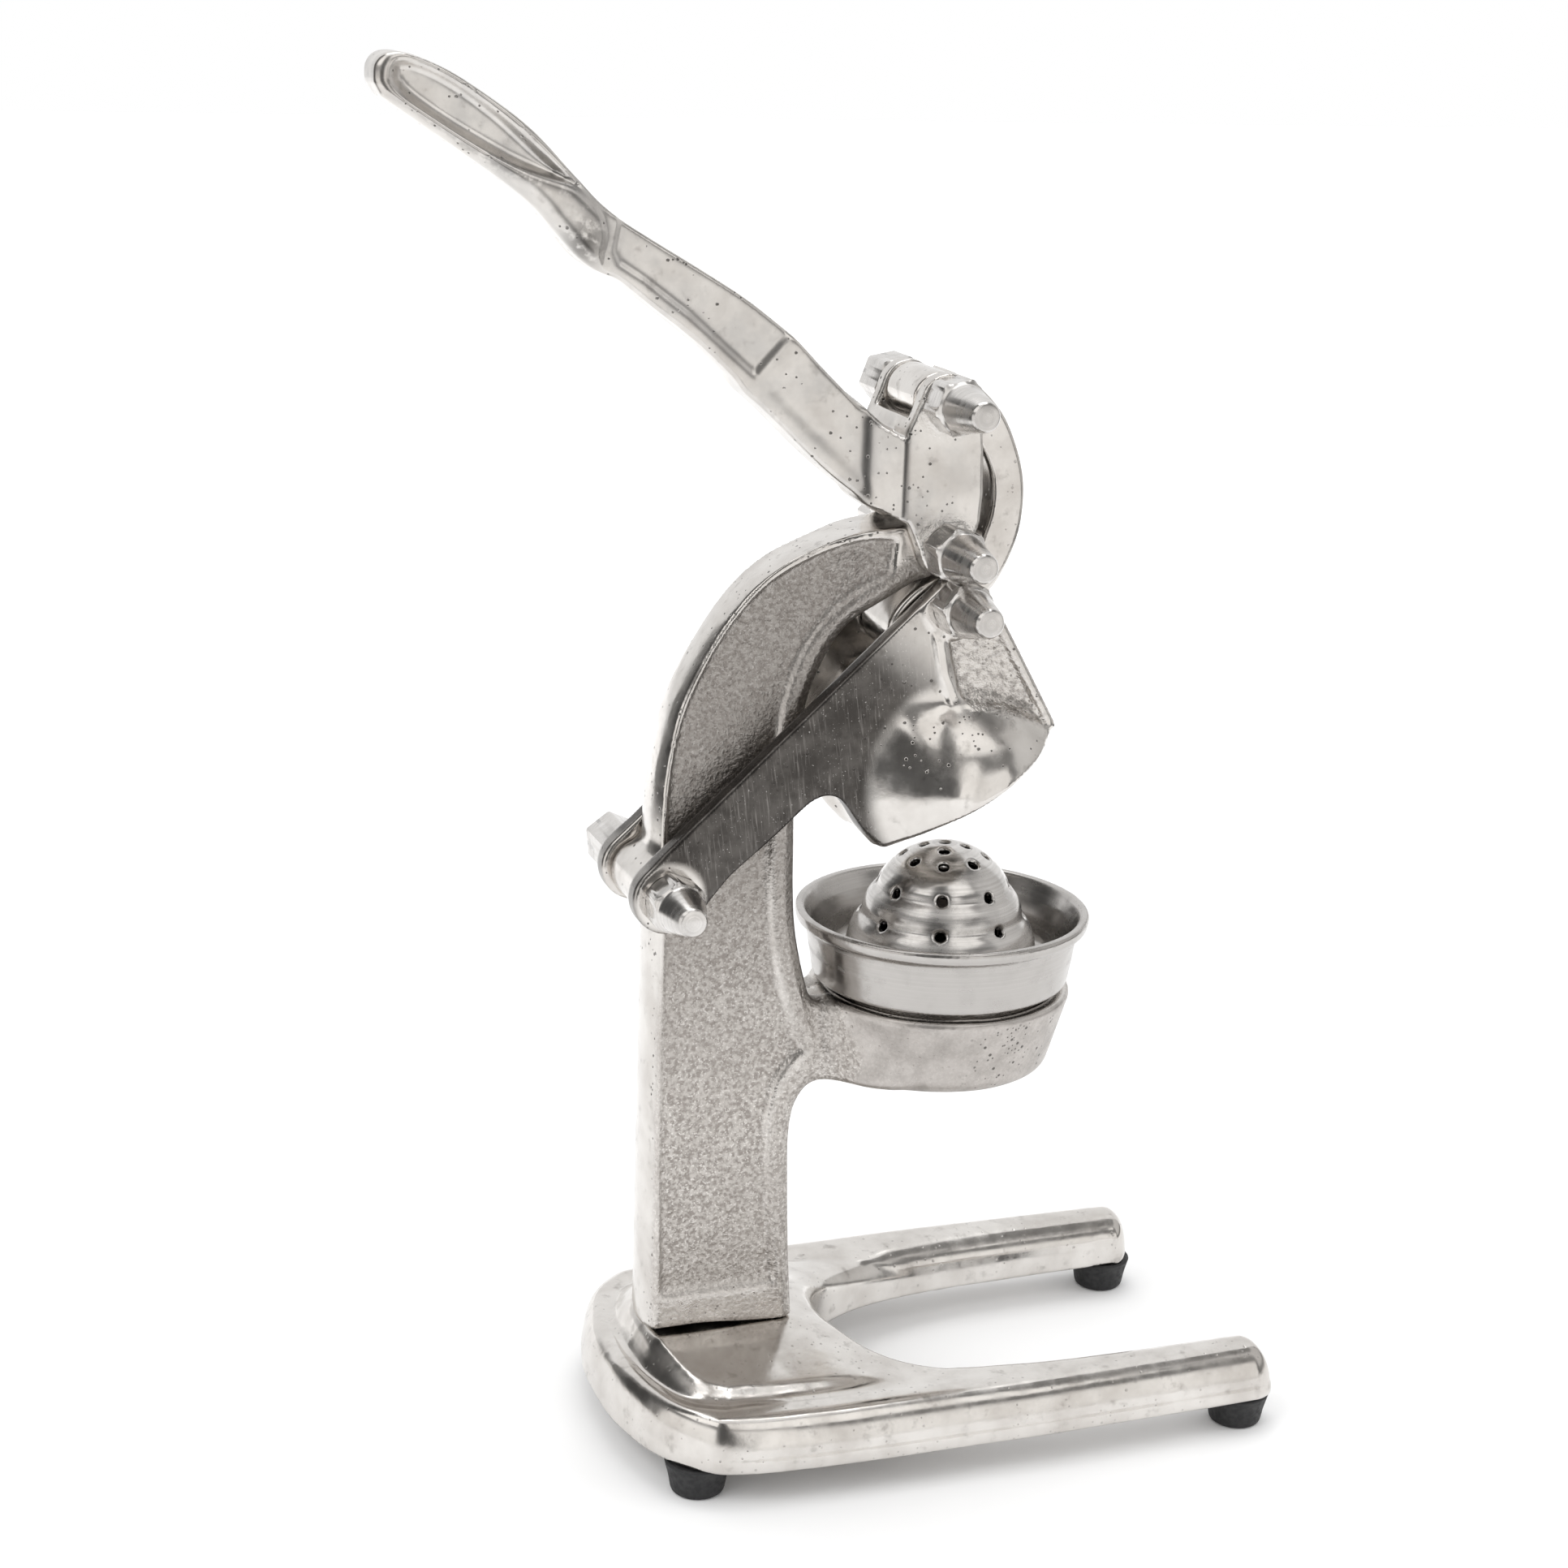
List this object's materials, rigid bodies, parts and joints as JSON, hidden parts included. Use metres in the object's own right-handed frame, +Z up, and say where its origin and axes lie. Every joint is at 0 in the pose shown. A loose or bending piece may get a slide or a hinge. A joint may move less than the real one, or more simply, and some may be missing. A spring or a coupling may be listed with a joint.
{
  "type": "citrus press",
  "caption": "Hand-lever citrus press: a cast stand carries a cup with a perforated dome, and a raised lever swings a bell down onto it through a curved link.",
  "frame": {"origin": "on the table, under the middle of the bounding box at rest", "axes": "+X forward to the tips of the base, +Y to the left, +Z up; the handle leans back over -X"},
  "size_m": [0.3181, 0.1448, 0.4802],
  "materials": {
    "polished_aluminium": "polished casting with fine pits and soft streaks",
    "cast_aluminium": "polished edges round rough sand-cast fields",
    "turned_aluminium": "bright turned, fine rings",
    "zinc_steel": "zinc plated",
    "black_rubber": "matt"
  },
  "bodies": {
    "stand": {"base": "polished_aluminium", "column": "cast_aluminium", "handle_pivot_bolt": "turned_aluminium", "handle_cap_nut": "turned_aluminium", "arm_pivot_bolt": "turned_aluminium", "arm_cap_nut": "turned_aluminium", "foot_rear_right": "black_rubber", "foot_rear_left": "black_rubber", "foot_front_right": "black_rubber", "foot_front_left": "black_rubber", "foot_screw_rear_right": "zinc_steel", "foot_screw_rear_left": "zinc_steel", "foot_screw_front_right": "zinc_steel", "foot_screw_front_left": "zinc_steel", "column_bolt_rear": "zinc_steel", "column_bolt_front": "zinc_steel", "column_washer_rear": "zinc_steel", "column_washer_front": "zinc_steel"},
    "lever": {"lever": "polished_aluminium", "link_pivot_bolt": "turned_aluminium", "link_cap_nut": "turned_aluminium"},
    "link": {"link": "polished_aluminium"},
    "press": {"press_arm": "polished_aluminium", "head_pivot_bolt": "turned_aluminium", "head_cap_nut": "turned_aluminium"},
    "strainer": {"strainer_cup": "turned_aluminium"}
  },
  "joints": [
    {"name": "handle_swing", "type": "hinge", "parent": "stand", "child": "lever", "pos_m": [0.0315, 0, 0.3217], "axis": [0, 1, 0], "range_deg": [0, 95]},
    {"name": "press_swing", "type": "hinge", "parent": "stand", "child": "press", "pos_m": [-0.0645, 0, 0.2072], "axis": [0, 1, 0], "range_deg": [0, 26.62]},
    {"name": "link_swing", "type": "hinge", "parent": "lever", "child": "link", "pos_m": [0.0294, 0, 0.3714], "axis": [0, 1, 0], "range_deg": [-84.64, 0]},
    {"name": "strainer_turn", "type": "hinge", "parent": "stand", "child": "strainer", "pos_m": [0.0444, 0, 0.1672], "axis": [0, 0, 1], "continuous": true}
  ],
  "couplings": [
    {"joint": "press_swing", "follows": "handle_swing", "ratio": 0.2802},
    {"joint": "link_swing", "follows": "handle_swing", "ratio": -0.89098}
  ]
}
